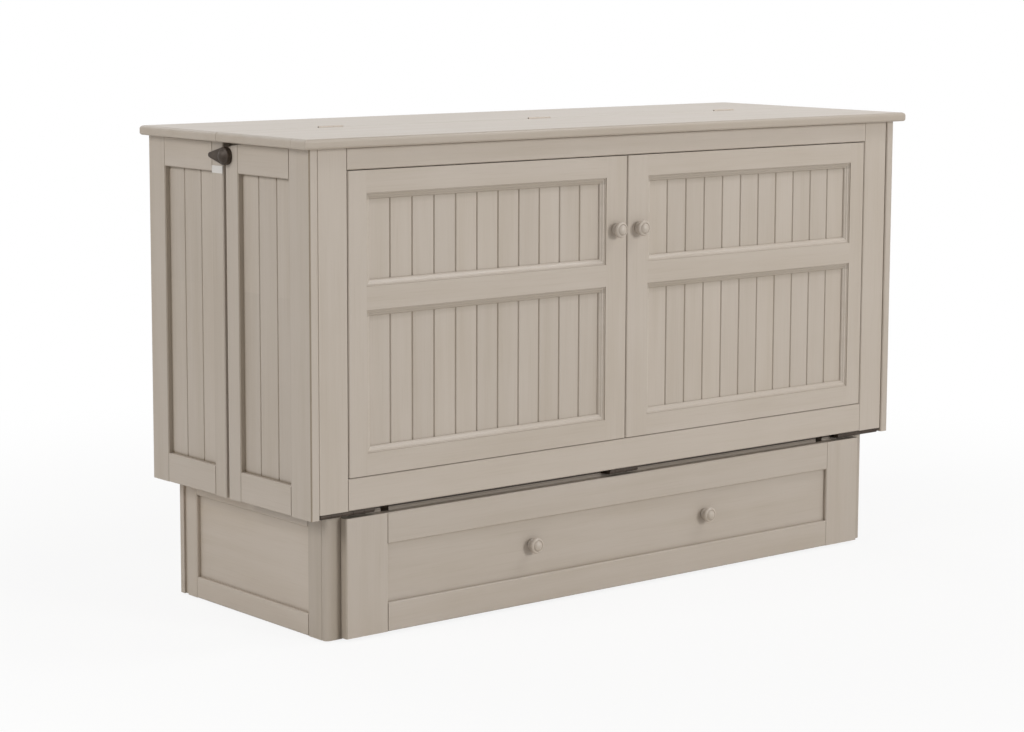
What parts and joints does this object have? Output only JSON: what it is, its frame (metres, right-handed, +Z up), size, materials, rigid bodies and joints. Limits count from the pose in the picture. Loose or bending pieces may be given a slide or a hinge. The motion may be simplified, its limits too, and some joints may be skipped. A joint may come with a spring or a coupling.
{
  "type": "cabinet bed",
  "caption": "Painted cabinet with beaded doors whose front half tips down on hinges into a slatted bed, with a folding mattress, a hinged lid and a base drawer.",
  "frame": {"origin": "bottom centre of the closed cabinet's box, on the floor", "axes": "+X to the right seen from the front, +Y from the front to the back, +Z up"},
  "size_m": [1.68, 0.605, 1.003],
  "materials": {
    "painted_front": "satin greige paint with a soft darker glaze in the grooves",
    "painted_side": "satin greige paint with a soft darker glaze in the grooves",
    "painted_top": "satin greige paint",
    "pine": "sanded, unfinished",
    "plywood": "sanded, unfinished",
    "bronze": "dark oil-rubbed bronze",
    "painted_hinge": "painted over with the top",
    "zinc": "zinc plated",
    "leg_steel": "black powder coat",
    "mattress_fabric": "knitted cover",
    "nylon": "moulded",
    "card": "plain uncoated"
  },
  "bodies": {
    "cabinet": {"base_front_posts": "painted_side", "base_rear_stiles": "painted_side", "base_side_rails": "painted_side", "base_side_panels": "painted_side", "base_back_board": "painted_side", "base_front_rail": "painted_front", "floor_glides": "nylon", "cabinet_floor": "plywood", "rear_side_stiles": "painted_side", "rear_side_rails": "painted_side", "rear_side_beadboards": "painted_side", "cabinet_back": "painted_side", "rear_top": "painted_top", "lid_hinge_rear_leaves": "painted_hinge", "front_hinge_base_leaves": "bronze", "hinge_pins": "bronze", "head_deck_bearers": "pine", "head_deck_slats": "pine", "mattress_head_third": "mattress_fabric", "mattress_middle_third": "mattress_fabric", "mattress_foot_third": "mattress_fabric", "drawer_runner_channels": "zinc", "latch_keepers": "bronze", "blank_tag": "card"},
    "lid": {"lid_board": "painted_top", "lid_front_edging": "painted_top", "lid_battens": "painted_side", "lid_hinge_lid_leaves": "painted_hinge"},
    "front": {"front_hinge_front_leaves": "bronze", "front_frame_stiles": "painted_front", "front_frame_rails": "painted_front", "front_corner_cleats": "pine", "door_stiles": "painted_front", "door_rails": "painted_front", "door_beadboards": "painted_front", "door_mouldings": "painted_front", "door_knobs": "painted_front", "front_side_stiles": "painted_side", "front_side_rails": "painted_side", "front_side_beadboards": "painted_side", "middle_deck_ledgers": "pine", "middle_deck_slats": "pine", "foot_deck_runner_strips": "pine", "latch_bases": "bronze"},
    "foot_deck": {"foot_deck_slats": "pine", "foot_deck_side_rails": "pine", "foot_deck_cross_rails": "pine", "foot_leg_brackets": "zinc"},
    "leg_right": {"foot_leg_right": "leg_steel"},
    "leg_left": {"foot_leg_left": "leg_steel"},
    "latch_right": {"latch_lever_right": "bronze"},
    "latch_left": {"latch_lever_left": "bronze"},
    "drawer": {"drawer_front_stiles": "painted_front", "drawer_front_rails": "painted_front", "drawer_front_panel": "painted_front", "drawer_knobs": "painted_front", "drawer_box_sides": "plywood", "drawer_box_ends": "plywood", "drawer_floor": "plywood", "drawer_runner_slides": "zinc"}
  },
  "joints": [
    {"name": "front_fold", "type": "hinge", "parent": "cabinet", "child": "front", "pos_m": [0, -0.2675, 0.2595], "axis": [1, 0, 0], "range_deg": [0, 90]},
    {"name": "lid_fold", "type": "hinge", "parent": "cabinet", "child": "lid", "pos_m": [0, 0.015, 1.0004], "axis": [-1, 0, 0], "range_deg": [0, 180]},
    {"name": "foot_deck_slide", "type": "slide", "parent": "front", "child": "foot_deck", "axis": [0, 0, 1], "range_m": [0, 0.616]},
    {"name": "leg_right_fold", "type": "hinge", "parent": "foot_deck", "child": "leg_right", "pos_m": [0.7, -0.2265, 0.964], "axis": [0, 0, 1], "range_deg": [0, 90]},
    {"name": "leg_left_fold", "type": "hinge", "parent": "foot_deck", "child": "leg_left", "pos_m": [-0.7, -0.2265, 0.964], "axis": [0, 0, -1], "range_deg": [0, 90]},
    {"name": "latch_right_turn", "type": "hinge", "parent": "front", "child": "latch_right", "pos_m": [0.82, 0.004, 0.952], "axis": [-1, 0, 0], "range_deg": [0, 90]},
    {"name": "latch_left_turn", "type": "hinge", "parent": "front", "child": "latch_left", "pos_m": [-0.82, 0.004, 0.952], "axis": [-1, 0, 0], "range_deg": [0, 90]},
    {"name": "drawer_slide", "type": "slide", "parent": "cabinet", "child": "drawer", "axis": [0, -1, 0], "range_m": [0, 0.42]}
  ],
  "couplings": [
    {"joint": "lid_fold", "follows": "front_fold", "ratio": 2},
    {"joint": "foot_deck_slide", "follows": "front_fold", "m_per_rad": 0.39216},
    {"joint": "leg_right_fold", "follows": "front_fold", "ratio": 1},
    {"joint": "leg_left_fold", "follows": "front_fold", "ratio": 1}
  ]
}
